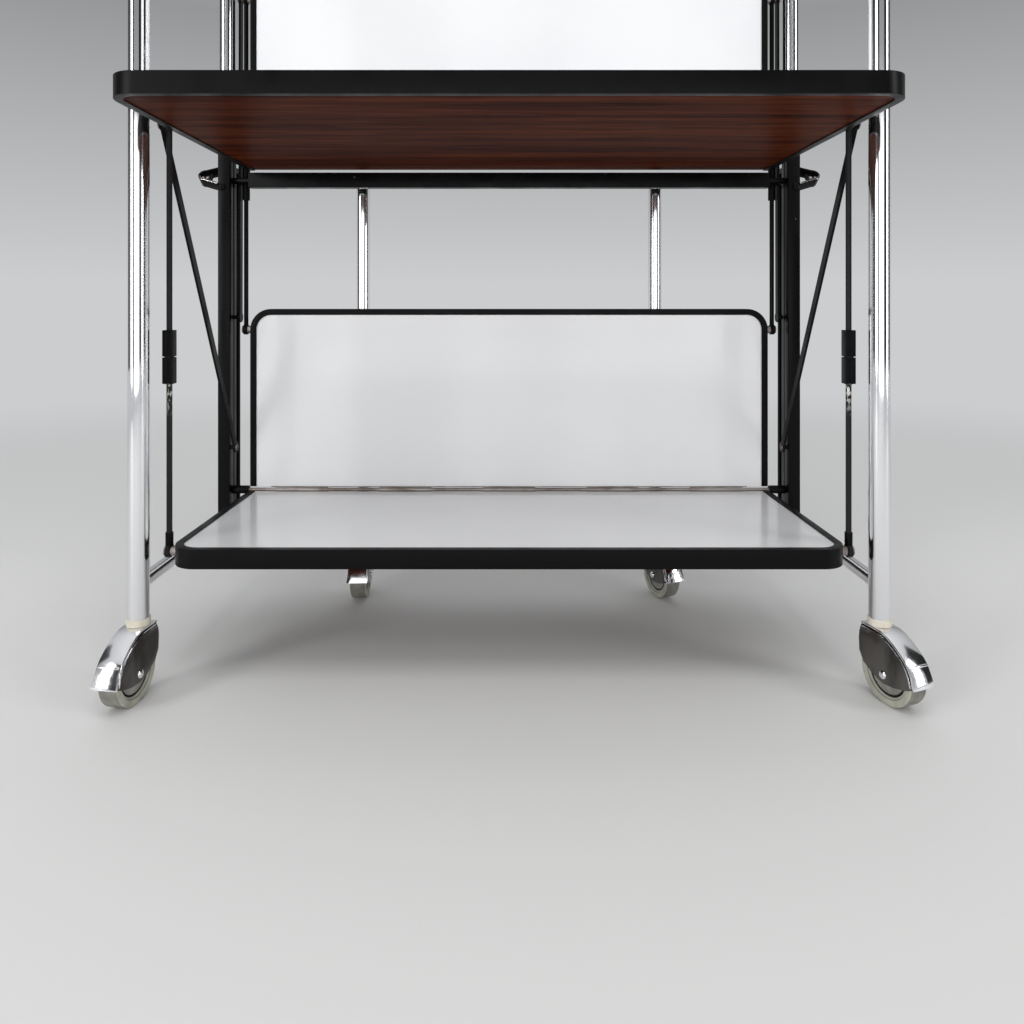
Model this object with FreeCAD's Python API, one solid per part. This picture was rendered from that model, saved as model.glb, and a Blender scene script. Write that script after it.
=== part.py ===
import FreeCAD, Part
import os
from math import cos, radians

# Drop leaf tea trolley in millimetres. X runs along the trays, the front is -Y and Z is up.
# The model is laid out from the hinge plane (y = 0) and moved at the end so that the
# origin is the middle of its footprint, on the floor.
V = FreeCAD.Vector
UP = V(0, 0, 1)
ALONG = V(1, 0, 0)
BACK = V(0, 1, 0)

# Leaves
TRAY_LENGTH = 600.0
UPPER_DEPTH = 312.0
LOWER_DEPTH = 209.0
CORNER_RADIUS = 24.0
BOARD_CORE = 13.0
LAMINATE = 1.0
EDGE_WALL = 3.0
EDGE_LIP = 4.0
LIP_THICKNESS = 1.0
UPPER_AXIS_Z = 515.6
LOWER_AXIS_Z = 129.6
LEAF_DROP = 0.6
HINGE_GAP = 3.4

# Hinge rods and knuckles
HINGE_ROD_RADIUS = 2.0
RUNNING_FIT = 0.05
OVERRUN = 1.0
KNUCKLE_RADIUS = 2.9
KNUCKLE_CLEAR = 0.4
KNUCKLE_LENGTH = 60.0
KNUCKLE_END = 30.0
STRIP_HEIGHT = 10.0
STRIP_THICKNESS = 1.2

# Centre frame
POST_OUT = 26.3
POST_X = TRAY_LENGTH / 2 + POST_OUT
POST_WIDTH = 13.0
POST_DEPTH = 22.0
POST_WALL = 1.5
POST_FOOT_Z = 84.0
POST_ABOVE_AXIS = 17.4
POST_TOP_Z = UPPER_AXIS_Z + POST_ABOVE_AXIS
BAR_BELOW_AXIS = 28.6
BAR_Z = UPPER_AXIS_Z - BAR_BELOW_AXIS
BAR_HEIGHT = 17.0
BAR_DEPTH = 12.0
BAR_STUB_RADIUS = 3.5
TIE_Z = 97.0
TIE_HEIGHT = 14.0
TIE_DEPTH = 14.0

# Side loops and bottom rails
LEG_RADIUS = 9.0
TUBE_WALL = 1.5
LEG_AHEAD = 18.4
LEG_Y = CORNER_RADIUS - LOWER_DEPTH - LEG_AHEAD
LEG_FOOT_Z = 68.0
LOOP_TOP_Z = 770.0
LOOP_BEND = 60.0
RAIL_RADIUS = 6.5
RAIL_Z = 97.0

# Strip loops on the posts: a hairpin of strip, wide at the post, with a web closing its rounded tip
STRIP_LOOP_REACH = 25.0
STRIP_LOOP_WIDTH = 13.0
STRIP_LOOP_HEIGHT = 28.0
STRIP_LOOP_TIP = 7.5
STRIP_LOOP_WALL = 2.2
STRIP_LOOP_OPEN = 10.5
STRIP_LOOP_WEB = 3.0
STRIP_LOOP_RISE = 2.5
STRIP_LOOP_TILT = 35.0
STRIP_LOOP_Z = BAR_Z + STRIP_LOOP_RISE

# Link rods and stays beside the leaf ends
LINK_REACH = LOWER_DEPTH - CORNER_RADIUS
ROD_OUT = 7.6
ROD_X = TRAY_LENGTH / 2 + ROD_OUT
ROD_RADIUS = 2.5
EYE_RADIUS = 6.0
EYE_THICKNESS = 4.0
SLEEVE_RADIUS = 4.2
SLEEVE_HEIGHT = 48.0
SLEEVE_ABOVE_LOWER = 175.0
STUD_RADIUS = 2.5
STUD_BITE = 14.0
STUD_HEAD_RADIUS = 4.5
STUD_HEAD = 1.2
PIN_CLEAR = 0.5
STAY_OUT = 13.8
STAY_X = TRAY_LENGTH / 2 + STAY_OUT
STAY_WIDTH = 8.0
STAY_THICKNESS = 2.4
STAY_FOOT_Y = 7.5
STAY_FOOT_Z = 180.0
STAY_PIN_RADIUS = 2.4

# Rear leg gates
GATE_LEG_IN = 125.0
GATE_LEG_X = TRAY_LENGTH / 2 - GATE_LEG_IN
GATE_LEG_Y = 31.0
GATE_LEG_RADIUS = 8.0
GATE_LEG_RISE = 8.0
GATE_LEG_TOP_Z = BAR_Z + GATE_LEG_RISE
GATE_PIVOT_Y = 24.0
GATE_TUBE_RADIUS = 6.0
GATE_TUBE_RISE = 11.0
GATE_TUBE_TOP_Z = BAR_Z + GATE_TUBE_RISE
GATE_ARM_RADIUS = 5.0
GATE_ARM_Z = (TIE_Z, BAR_Z)
GATE_PIN_RADIUS = 3.0
LUG_THICKNESS = 6.0
LUG_GAP = 0.4

# Casters
WHEEL_RADIUS = 26.0
TYRE_BAND = 8.0
TYRE_WIDTH = 18.5
HUB_BOSS = 10.5
AXLE_RADIUS = 3.0
TRAIL = 14.5
HOOD_WIDTH = 27.0
HOOD_WALL = 2.0
HOOD_TOP_Z = 62.0
HOOD_NECK = 11.0
HOOD_LIP_Z = 27.0
HOOD_LIP_HEIGHT = 8.0
HOOD_HEEL_RISE = 10.0
HOOD_LIP_GAP = 0.5
HOOD_DROP = 6.5
WELL_GAP = 1.5
TYRE_ROUND = 2.5
HUB_DISH = 2.0
BOSS_WALL = 3.0
AXLE_HEAD = 1.0
STEM_RADIUS = 5.0
STEM_LENGTH = 36.0
COLLAR_FLANGE = 11.0
SWIVEL_GAP = 0.3

# Caster headings in degrees, counted from +X towards +Y, as they stand at rest
HEADINGS = {"front_left": -98.0, "front_right": -70.0, "rear_left": -88.0, "rear_right": -70.0}

LEAF_THICKNESS = 2 * LIP_THICKNESS + 2 * LAMINATE + BOARD_CORE
LEAF_TOP = -LEAF_DROP
LEAF_UNDER = LEAF_TOP - LEAF_THICKNESS
LEAF_MIDDLE = (LEAF_TOP + LEAF_UNDER) / 2
HALF_TRAY = TRAY_LENGTH / 2
POST_INNER_X = POST_X - POST_WIDTH / 2
SIDES = (("left", -1), ("right", 1))


def box(x0, x1, y0, y1, z0, z1):
    return Part.makeBox(x1 - x0, y1 - y0, z1 - z0, V(x0, y0, z0))


def rod(radius, start, end):
    run = end - start
    return Part.makeCylinder(radius, run.Length, start, run)


def tube(radius, wall, start, end):
    return rod(radius, start, end).cut(rod(radius - wall, start, end))


def fuse(shapes):
    whole = shapes[0]
    for shape in shapes[1:]:
        whole = whole.fuse(shape)
    return whole.removeSplitter()


def mirrored(shape):
    return shape.mirror(V(0, 0, 0), ALONG)


def both_sides(shape):
    return Part.makeCompound([shape, mirrored(shape)])


# A leaf's outline: square at the hinge, with two rounded corners at its free edge.
def leaf_outline(inset, depth, hinge_y, z0, z1):
    half = HALF_TRAY - inset
    free = -(depth - inset)
    radius = CORNER_RADIUS - inset
    slant = radius * (1 - cos(radians(45)))
    corners = [V(half, hinge_y, z0), V(half, free + radius, z0), V(half - radius, free, z0)]
    right_bow = V(half - slant, free + slant, z0)
    left_bow = V(-right_bow.x, right_bow.y, z0)
    left = [V(-point.x, point.y, z0) for point in corners]
    edges = [
        Part.LineSegment(corners[0], corners[1]).toShape(),
        Part.Arc(corners[1], right_bow, corners[2]).toShape(),
        Part.LineSegment(corners[2], left[2]).toShape(),
        Part.Arc(left[2], left_bow, left[1]).toShape(),
        Part.LineSegment(left[1], left[0]).toShape(),
        Part.LineSegment(left[0], corners[0]).toShape(),
    ]
    return Part.Face(Part.Wire(edges)).extrude(V(0, 0, z1 - z0))


# The hinge strip on a leaf's edge, with knuckles at the given places along the rod.
def hinge_strip(places):
    reach = HALF_TRAY - CORNER_RADIUS
    strip = box(-reach, reach, -HINGE_GAP, -HINGE_GAP + STRIP_THICKNESS,
                LEAF_TOP - LIP_THICKNESS - STRIP_HEIGHT, LEAF_TOP - LIP_THICKNESS)
    clear = KNUCKLE_RADIUS + KNUCKLE_CLEAR
    strip = strip.cut(rod(clear, V(-HALF_TRAY, 0, 0), V(HALF_TRAY, 0, 0)))
    pieces = [strip]
    for place in places:
        start = place - KNUCKLE_LENGTH / 2
        end = place + KNUCKLE_LENGTH / 2
        pieces.append(rod(KNUCKLE_RADIUS, V(start, 0, 0), V(end, 0, 0)))
        pieces.append(box(start, end, -HINGE_GAP, -HINGE_ROD_RADIUS,
                          -HINGE_GAP - STRIP_THICKNESS, LEAF_TOP - LIP_THICKNESS))
    bore = rod(HINGE_ROD_RADIUS + RUNNING_FIT, V(-HALF_TRAY, 0, 0), V(HALF_TRAY, 0, 0))
    return fuse(pieces).cut(bore)


# The stud in a leaf's end that carries the link rod and, on an upper leaf, the stay.
def leaf_stud(outer_x):
    y = -LINK_REACH
    pin = rod(STUD_RADIUS, V(HALF_TRAY - STUD_BITE, y, LEAF_MIDDLE), V(outer_x, y, LEAF_MIDDLE))
    head = rod(STUD_HEAD_RADIUS, V(outer_x, y, LEAF_MIDDLE), V(outer_x + STUD_HEAD, y, LEAF_MIDDLE))
    washer = rod(STUD_HEAD_RADIUS, V(HALF_TRAY, y, LEAF_MIDDLE),
                 V(ROD_X - EYE_THICKNESS / 2 - PIN_CLEAR, y, LEAF_MIDDLE))
    return fuse([pin, head, washer])


# The five pieces of one leaf, lying open to the front with the hinge axis on the X axis.
def leaf(depth, places, stud_end):
    core_top = LEAF_TOP - LIP_THICKNESS - LAMINATE
    core_under = core_top - BOARD_CORE
    stud = leaf_stud(stud_end)
    studs = [stud, mirrored(stud)]
    board = leaf_outline(EDGE_WALL, depth, -HINGE_GAP, core_under, core_top)
    lip_edge = EDGE_WALL + EDGE_LIP
    top = leaf_outline(lip_edge, depth, -HINGE_GAP, core_top, core_top + LAMINATE)
    under = leaf_outline(lip_edge, depth, -HINGE_GAP, core_under - LAMINATE, core_under)
    edging = leaf_outline(0, depth, -HINGE_GAP, LEAF_UNDER, LEAF_TOP)
    groove = leaf_outline(EDGE_WALL, depth, 0, core_under, core_top)
    window = leaf_outline(lip_edge, depth, 0, LEAF_UNDER, LEAF_TOP)
    edging = edging.cut(groove).cut(window)
    for piece in studs:
        board = board.cut(piece)
        edging = edging.cut(piece)
    fittings = Part.makeCompound([hinge_strip(places)] + studs)
    return {"board": board, "top_laminate": top, "bottom_laminate": under,
            "edging": edging, "fittings": fittings}


def lifted(shape, z):
    return shape.translated(V(0, 0, z))


# The same leaf folded up behind the hinge plane, with its white face to the front.
def folded_up(shape):
    turned = shape.rotated(V(0, 0, 0), ALONG, -90)
    return turned.mirror(V(0, 0, 0), BACK)


# A link rod hanging from the stud of an upper leaf to the stud of the lower leaf.
def link_rod(y, top_z):
    foot_z = top_z - (UPPER_AXIS_Z - LOWER_AXIS_Z)
    pieces = [rod(ROD_RADIUS, V(ROD_X, y, foot_z), V(ROD_X, y, top_z))]
    inner = ROD_X - EYE_THICKNESS / 2
    outer = ROD_X + EYE_THICKNESS / 2
    for z in (foot_z, top_z):
        pieces.append(rod(EYE_RADIUS, V(inner, y, z), V(outer, y, z)))
    sleeve_z = foot_z + SLEEVE_ABOVE_LOWER
    half = SLEEVE_HEIGHT / 2
    pieces.append(rod(SLEEVE_RADIUS, V(ROD_X, y, sleeve_z - half), V(ROD_X, y, sleeve_z + half)))
    whole = fuse(pieces)
    for z in (foot_z, top_z):
        bore = rod(STUD_RADIUS + RUNNING_FIT, V(inner - OVERRUN, y, z), V(outer + OVERRUN, y, z))
        whole = whole.cut(bore)
    return whole


# A stay: a flat bar from a leaf's stud to the pin that slides along the post's inner face.
def stay(top, foot):
    inner = STAY_X - STAY_THICKNESS / 2
    outer = STAY_X + STAY_THICKNESS / 2
    run = foot - top
    side = V(0, -run.z, run.y)
    side.multiply(STAY_WIDTH / 2 / run.Length)
    shift = V(inner, 0, 0)
    corners = [top + side + shift, foot + side + shift, foot - side + shift, top - side + shift]
    bar = Part.Face(Part.makePolygon(corners + corners[:1])).extrude(V(STAY_THICKNESS, 0, 0))
    pieces = [bar]
    for end in (top, foot):
        pieces.append(rod(EYE_RADIUS, end + shift, end + V(outer, 0, 0)))
    pieces.append(rod(STAY_PIN_RADIUS, foot + V(outer, 0, 0), foot + V(POST_INNER_X - PIN_CLEAR, 0, 0)))
    bore = rod(STUD_RADIUS + RUNNING_FIT, top + V(inner - OVERRUN, 0, 0), top + V(outer + OVERRUN, 0, 0))
    return fuse(pieces).cut(bore)


# A side loop: the front leg, the handle bend over the top and the tube down to the post.
def side_loop():
    x = POST_X
    r = LOOP_BEND
    low = LOOP_TOP_Z - r
    bow = r * (1 - cos(radians(45)))
    points = [V(x, LEG_Y, LEG_FOOT_Z), V(x, LEG_Y, low), V(x, LEG_Y + r, LOOP_TOP_Z),
              V(x, -r, LOOP_TOP_Z), V(x, 0, low), V(x, 0, POST_TOP_Z)]
    path = Part.Wire([
        Part.LineSegment(points[0], points[1]).toShape(),
        Part.Arc(points[1], V(x, LEG_Y + bow, LOOP_TOP_Z - bow), points[2]).toShape(),
        Part.LineSegment(points[2], points[3]).toShape(),
        Part.Arc(points[3], V(x, -bow, LOOP_TOP_Z - bow), points[4]).toShape(),
        Part.LineSegment(points[4], points[5]).toShape(),
    ])
    outer = Part.Wire(Part.makeCircle(LEG_RADIUS, points[0], UP))
    inner = Part.Wire(Part.makeCircle(LEG_RADIUS - TUBE_WALL, points[0], UP))
    return path.makePipeShell([outer], True, False).cut(path.makePipeShell([inner], True, False))


def bottom_rail():
    rail = tube(RAIL_RADIUS, TUBE_WALL, V(POST_X, LEG_Y, RAIL_Z), V(POST_X, -POST_DEPTH / 2, RAIL_Z))
    leg = rod(LEG_RADIUS, V(POST_X, LEG_Y, LEG_FOOT_Z), V(POST_X, LEG_Y, LOOP_TOP_Z))
    return rail.cut(leg)


def centre_post():
    outer = box(POST_X - POST_WIDTH / 2, POST_X + POST_WIDTH / 2, -POST_DEPTH / 2, POST_DEPTH / 2,
                POST_FOOT_Z, POST_TOP_Z)
    cavity = box(POST_X - POST_WIDTH / 2 + POST_WALL, POST_X + POST_WIDTH / 2 - POST_WALL,
                 -POST_DEPTH / 2 + POST_WALL, POST_DEPTH / 2 - POST_WALL,
                 POST_FOOT_Z + POST_WALL, POST_TOP_Z - POST_WALL)
    post = outer.cut(cavity)
    for axis_z in (UPPER_AXIS_Z, LOWER_AXIS_Z):
        post = post.cut(hinge_rod(axis_z))
    return post


def hinge_rod(axis_z):
    return rod(HINGE_ROD_RADIUS, V(-POST_X, 0, axis_z), V(POST_X, 0, axis_z))


# The cross bar ends in round stubs, which leave room for the rods and stays at the posts.
def cross_bar():
    half = HALF_TRAY
    bar = box(-half, half, -BAR_DEPTH / 2, BAR_DEPTH / 2, BAR_Z - BAR_HEIGHT / 2, BAR_Z + BAR_HEIGHT / 2)
    stub = rod(BAR_STUB_RADIUS, V(-POST_INNER_X, 0, BAR_Z), V(POST_INNER_X, 0, BAR_Z))
    return fuse([bar, stub])


def lower_tie():
    return box(-POST_INNER_X, POST_INNER_X, -TIE_DEPTH / 2, TIE_DEPTH / 2,
               TIE_Z - TIE_HEIGHT / 2, TIE_Z + TIE_HEIGHT / 2)


# A hairpin of strip standing out from the post, closed by a web behind its tip.
def strip_loop():
    x0 = POST_X + POST_WIDTH / 2
    y0 = -STRIP_LOOP_WIDTH / 2
    tip_x = x0 + STRIP_LOOP_REACH - STRIP_LOOP_TIP
    across = V(0, STRIP_LOOP_WIDTH, 0)

    def blade(inset):
        high = STRIP_LOOP_HEIGHT / 2 - inset
        tip = STRIP_LOOP_TIP - inset
        corners = [V(x0, y0, STRIP_LOOP_Z + high), V(tip_x, y0, STRIP_LOOP_Z + tip),
                   V(tip_x, y0, STRIP_LOOP_Z - tip), V(x0, y0, STRIP_LOOP_Z - high)]
        arms = Part.Face(Part.makePolygon(corners + corners[:1])).extrude(across)
        middle = V(tip_x, y0, STRIP_LOOP_Z)
        return fuse([arms, rod(tip, middle, middle + across)])

    web = box(x0 + STRIP_LOOP_OPEN, x0 + STRIP_LOOP_REACH, -STRIP_LOOP_WEB / 2, STRIP_LOOP_WEB / 2,
              STRIP_LOOP_Z - STRIP_LOOP_HEIGHT / 2, STRIP_LOOP_Z + STRIP_LOOP_HEIGHT / 2)
    hairpin = blade(0).cut(blade(STRIP_LOOP_WALL).cut(web))
    return hairpin.rotated(V(0, 0, STRIP_LOOP_Z), ALONG, -STRIP_LOOP_TILT)


# A rear leg gate swings on a tube behind the post, held between two lugs.
def gate_pivot_tube():
    z0 = min(GATE_ARM_Z) - GATE_ARM_RADIUS - LUG_THICKNESS
    body = rod(GATE_TUBE_RADIUS, V(POST_X, GATE_PIVOT_Y, z0), V(POST_X, GATE_PIVOT_Y, GATE_TUBE_TOP_Z))
    pin_reach = LUG_GAP + LUG_THICKNESS
    pin = rod(GATE_PIN_RADIUS, V(POST_X, GATE_PIVOT_Y, z0 - pin_reach),
              V(POST_X, GATE_PIVOT_Y, GATE_TUBE_TOP_Z + pin_reach))
    return fuse([body, pin])


def gate_lugs():
    z0 = min(GATE_ARM_Z) - GATE_ARM_RADIUS - LUG_THICKNESS
    lugs = []
    for low in (z0 - LUG_GAP - LUG_THICKNESS, GATE_TUBE_TOP_Z + LUG_GAP):
        high = low + LUG_THICKNESS
        nose = rod(GATE_TUBE_RADIUS, V(POST_X, GATE_PIVOT_Y, low), V(POST_X, GATE_PIVOT_Y, high))
        web = box(POST_X - GATE_TUBE_RADIUS, POST_X + GATE_TUBE_RADIUS, POST_DEPTH / 2, GATE_PIVOT_Y,
                  low, high)
        bore = rod(GATE_PIN_RADIUS + RUNNING_FIT, V(POST_X, GATE_PIVOT_Y, low - OVERRUN),
                   V(POST_X, GATE_PIVOT_Y, high + OVERRUN))
        lugs.append(fuse([nose, web]).cut(bore))
    return lugs


def gate_leg():
    return tube(GATE_LEG_RADIUS, TUBE_WALL, V(GATE_LEG_X, GATE_LEG_Y, LEG_FOOT_Z),
                V(GATE_LEG_X, GATE_LEG_Y, GATE_LEG_TOP_Z))


def gate_arms():
    arms = []
    solid_leg = rod(GATE_LEG_RADIUS, V(GATE_LEG_X, GATE_LEG_Y, LEG_FOOT_Z),
                    V(GATE_LEG_X, GATE_LEG_Y, GATE_LEG_TOP_Z))
    for z in GATE_ARM_Z:
        arm = rod(GATE_ARM_RADIUS, V(GATE_LEG_X, GATE_LEG_Y, z), V(POST_X, GATE_PIVOT_Y, z))
        arms.append(arm.cut(gate_pivot_tube()).cut(solid_leg))
    return [Part.makeCompound(arm.Solids[:1]) for arm in arms]


# A collar is a plug in the leg's end with a flange under it, bored for the caster's stem.
def collar(x, y, bore_radius):
    plug = rod(bore_radius, V(x, y, LEG_FOOT_Z), V(x, y, LEG_FOOT_Z + STEM_LENGTH - HOOD_NECK))
    flange = rod(COLLAR_FLANGE, V(x, y, HOOD_TOP_Z + SWIVEL_GAP), V(x, y, LEG_FOOT_Z))
    stem_hole = rod(STEM_RADIUS + RUNNING_FIT, V(x, y, HOOD_TOP_Z), V(x, y, LEG_FOOT_Z + STEM_LENGTH))
    return fuse([plug, flange]).cut(stem_hole)


# A caster trails along +X from its stem on the Z axis and is then turned to its heading.
def caster_pieces():
    axle = V(TRAIL, 0, WHEEL_RADIUS)
    half = HOOD_WIDTH / 2
    across = V(0, HOOD_WIDTH, 0)
    well_radius = WHEEL_RADIUS + WELL_GAP
    crown = (well_radius + HOOD_WALL) * cos(radians(45))
    nose_x = TRAIL + well_radius + HOOD_WALL + HOOD_LIP_GAP
    outline = [V(-HOOD_NECK, -half, HOOD_TOP_Z), V(HOOD_NECK, -half, HOOD_TOP_Z)]
    brow = V(TRAIL + crown, -half, WHEEL_RADIUS + crown)
    nose = V(nose_x, -half, HOOD_LIP_Z + HOOD_LIP_HEIGHT)
    chin = V(nose_x, -half, HOOD_LIP_Z)
    belly = V(TRAIL, -half, WHEEL_RADIUS - HOOD_DROP)
    heel = V(-HOOD_NECK, -half, WHEEL_RADIUS + HOOD_HEEL_RISE)
    edges = [
        Part.LineSegment(outline[0], outline[1]).toShape(),
        Part.Arc(outline[1], brow, nose).toShape(),
        Part.LineSegment(nose, chin).toShape(),
        Part.LineSegment(chin, belly).toShape(),
        Part.LineSegment(belly, heel).toShape(),
        Part.LineSegment(heel, outline[0]).toShape(),
    ]
    hood = Part.Face(Part.Wire(edges)).extrude(across)
    bay = half - HOOD_WALL
    well = rod(well_radius, axle - V(0, bay, 0), axle + V(0, bay, 0))
    well = well.fuse(box(TRAIL - well_radius, TRAIL + well_radius, -bay, bay, 0, WHEEL_RADIUS))
    hood = hood.cut(well)
    stem = rod(STEM_RADIUS, V(0, 0, HOOD_TOP_Z - HOOD_WALL), V(0, 0, HOOD_TOP_Z + STEM_LENGTH - HOOD_NECK))
    pin_end = V(0, half + AXLE_HEAD, 0)
    pin = rod(AXLE_RADIUS, axle - pin_end, axle + pin_end)
    hood = fuse([hood, stem, pin])
    tyre_half = TYRE_WIDTH / 2
    rim = WHEEL_RADIUS - TYRE_BAND
    wheel = rod(WHEEL_RADIUS, axle - V(0, tyre_half, 0), axle + V(0, tyre_half, 0))
    tyre = wheel.cut(rod(rim, axle - V(0, tyre_half, 0), axle + V(0, tyre_half, 0)))
    rounded = [edge for edge in tyre.Edges if abs(edge.BoundBox.XLength - 2 * WHEEL_RADIUS) < 0.1]
    tyre = tyre.makeFillet(TYRE_ROUND, rounded)
    hub_half = V(0, tyre_half - HUB_DISH, 0)
    hub = rod(rim, axle - hub_half, axle + hub_half)
    hub = hub.fuse(rod(AXLE_RADIUS + BOSS_WALL, axle - V(0, HUB_BOSS, 0), axle + V(0, HUB_BOSS, 0)))
    hub = hub.cut(rod(AXLE_RADIUS + RUNNING_FIT, axle - V(0, half, 0), axle + V(0, half, 0)))
    return {"hood": hood, "tyre": tyre, "hub": hub}


parts = {}

# Fixed frame
for side, sign in SIDES:
    turn = mirrored if sign < 0 else Part.Shape.copy
    parts[f"side_loop_{side}"] = turn(side_loop())
    parts[f"bottom_rail_{side}"] = turn(bottom_rail())
    parts[f"centre_post_{side}"] = turn(centre_post())
    parts[f"strip_loop_{side}"] = turn(strip_loop())
    parts[f"rear_leg_{side}"] = turn(gate_leg())
    parts[f"gate_tube_{side}"] = turn(gate_pivot_tube())
    parts[f"gate_arms_{side}"] = turn(Part.makeCompound(gate_arms()))
parts["cross_bar"] = cross_bar()
parts["lower_tie"] = lower_tie()
parts["hinge_rods"] = Part.makeCompound([hinge_rod(UPPER_AXIS_Z), hinge_rod(LOWER_AXIS_Z)])
parts["gate_lugs"] = Part.makeCompound(gate_lugs() + [mirrored(lug) for lug in gate_lugs()])

# Leaves, with the knuckles of the front and rear leaf taking turns along each hinge rod
END_KNUCKLE = HALF_TRAY - KNUCKLE_END - KNUCKLE_LENGTH / 2
FRONT_KNUCKLES = (-END_KNUCKLE, 0, END_KNUCKLE)
REAR_KNUCKLES = (-END_KNUCKLE / 2, END_KNUCKLE / 2)
upper_end = STAY_X + STAY_THICKNESS / 2 + PIN_CLEAR
lower_end = ROD_X + EYE_THICKNESS / 2 + PIN_CLEAR
for level, depth, axis_z, end in (("upper", UPPER_DEPTH, UPPER_AXIS_Z, upper_end),
                                  ("lower", LOWER_DEPTH, LOWER_AXIS_Z, lower_end)):
    for name, shape in leaf(depth, FRONT_KNUCKLES, end).items():
        parts[f"front_{level}_{name}"] = lifted(shape, axis_z)
    for name, shape in leaf(depth, REAR_KNUCKLES, end).items():
        parts[f"rear_{level}_{name}"] = lifted(folded_up(shape), axis_z)

# Link rods and stays
front_pin = V(0, -LINK_REACH, UPPER_AXIS_Z + LEAF_MIDDLE)
front_foot = V(0, -STAY_FOOT_Y, STAY_FOOT_Z)
stay_length = (front_foot - front_pin).Length
rear_pin = V(0, -LEAF_MIDDLE, UPPER_AXIS_Z + LINK_REACH)
lean = rear_pin.y - STAY_FOOT_Y
rear_foot = V(0, STAY_FOOT_Y, rear_pin.z - (stay_length ** 2 - lean ** 2) ** 0.5)
front_link = link_rod(front_pin.y, front_pin.z)
front_stay = stay(front_pin, front_foot)
for side, sign in SIDES:
    turn = mirrored if sign < 0 else Part.Shape.copy
    parts[f"front_link_rod_{side}"] = turn(front_link)
    parts[f"front_stay_{side}"] = turn(front_stay)
parts["rear_link_rods"] = both_sides(link_rod(rear_pin.y, rear_pin.z))
parts["rear_stays"] = both_sides(stay(rear_pin, rear_foot))

# Casters and their collars
front_bore = LEG_RADIUS - TUBE_WALL
rear_bore = GATE_LEG_RADIUS - TUBE_WALL
parts["front_collars"] = both_sides(collar(POST_X, LEG_Y, front_bore))
places = {"front_left": V(-POST_X, LEG_Y, 0), "front_right": V(POST_X, LEG_Y, 0),
          "rear_left": V(-GATE_LEG_X, GATE_LEG_Y, 0), "rear_right": V(GATE_LEG_X, GATE_LEG_Y, 0)}
for corner, place in places.items():
    for name, shape in caster_pieces().items():
        turned = shape.rotated(V(0, 0, 0), UP, HEADINGS[corner])
        parts[f"{corner}_{name}"] = turned.translated(place)
    if corner.startswith("rear"):
        parts[f"{corner}_collar"] = collar(place.x, place.y, rear_bore)

# Move the footprint's middle to the origin and write one file for each piece.
whole = Part.makeCompound(list(parts.values())).optimalBoundingBox(True)
centre = V(-(whole.XMin + whole.XMax) / 2, -(whole.YMin + whole.YMax) / 2, -whole.ZMin)
print("hinge plane at y =", centre.y, "shift x", centre.x, "z", centre.z)
print("stay foot z", rear_foot.z, "stay length", stay_length)
os.makedirs("parts", exist_ok=True)
for name, shape in parts.items():
    moved = shape.translated(centre)
    if not moved.isValid():
        print("not valid:", name)
    moved.exportStep(f"parts/{name}.step")
print(len(parts), "pieces", whole.XLength, whole.YLength, whole.ZLength)
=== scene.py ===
from math import cos, pi, radians, sin

import bpy
from mathutils import Matrix, Vector


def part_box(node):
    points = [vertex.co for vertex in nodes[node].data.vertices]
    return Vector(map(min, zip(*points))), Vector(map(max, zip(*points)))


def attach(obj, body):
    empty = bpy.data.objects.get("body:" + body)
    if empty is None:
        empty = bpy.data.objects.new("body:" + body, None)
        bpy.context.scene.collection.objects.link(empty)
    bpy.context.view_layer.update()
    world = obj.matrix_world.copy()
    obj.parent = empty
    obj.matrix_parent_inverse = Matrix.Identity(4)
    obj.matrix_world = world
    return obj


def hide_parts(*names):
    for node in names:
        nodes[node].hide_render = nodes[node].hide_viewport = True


# Every later section dresses the pieces of that frame, in the order they are put together.
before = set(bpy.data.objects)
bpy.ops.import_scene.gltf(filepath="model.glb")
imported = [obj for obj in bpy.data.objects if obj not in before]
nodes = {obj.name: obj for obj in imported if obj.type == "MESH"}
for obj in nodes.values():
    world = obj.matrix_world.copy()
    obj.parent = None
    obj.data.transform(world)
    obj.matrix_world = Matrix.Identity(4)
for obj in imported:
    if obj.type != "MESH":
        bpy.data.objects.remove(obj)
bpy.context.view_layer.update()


# Polished chrome tubes: the side loops with their handles, the bottom rails and the rear legs.
# Steel tube is bent cold, then polished and plated; years of hands leave faint wipes and pits.
def finish(name, colour, roughness, metallic=0.0):
    material = bpy.data.materials.new(name)
    material.use_nodes = True
    shader = material.node_tree.nodes["Principled BSDF"]
    shader.inputs["Base Color"].default_value = (*colour, 1)
    shader.inputs["Roughness"].default_value = roughness
    shader.inputs["Metallic"].default_value = metallic
    return material, shader


def grain(material, scale, stretch=(1, 1, 1), detail=4.0):
    tree = material.node_tree
    place = tree.nodes.new("ShaderNodeTexCoord")
    mapping = tree.nodes.new("ShaderNodeMapping")
    noise = tree.nodes.new("ShaderNodeTexNoise")
    mapping.inputs["Scale"].default_value = stretch
    noise.inputs["Scale"].default_value = scale
    noise.inputs["Detail"].default_value = detail
    tree.links.new(place.outputs["Object"], mapping.inputs["Vector"])
    tree.links.new(mapping.outputs["Vector"], noise.inputs["Vector"])
    return noise.outputs["Fac"]


def graded(material, source, low, high, low_at=0.35, high_at=0.65):
    tree = material.node_tree
    ramp = tree.nodes.new("ShaderNodeValToRGB")
    ramp.color_ramp.elements[0].position = low_at
    ramp.color_ramp.elements[1].position = high_at
    ramp.color_ramp.elements[0].color = (*low, 1)
    ramp.color_ramp.elements[1].color = (*high, 1)
    tree.links.new(source, ramp.inputs["Fac"])
    return ramp.outputs["Color"]


def level(value):
    return (value, value, value)


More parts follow.
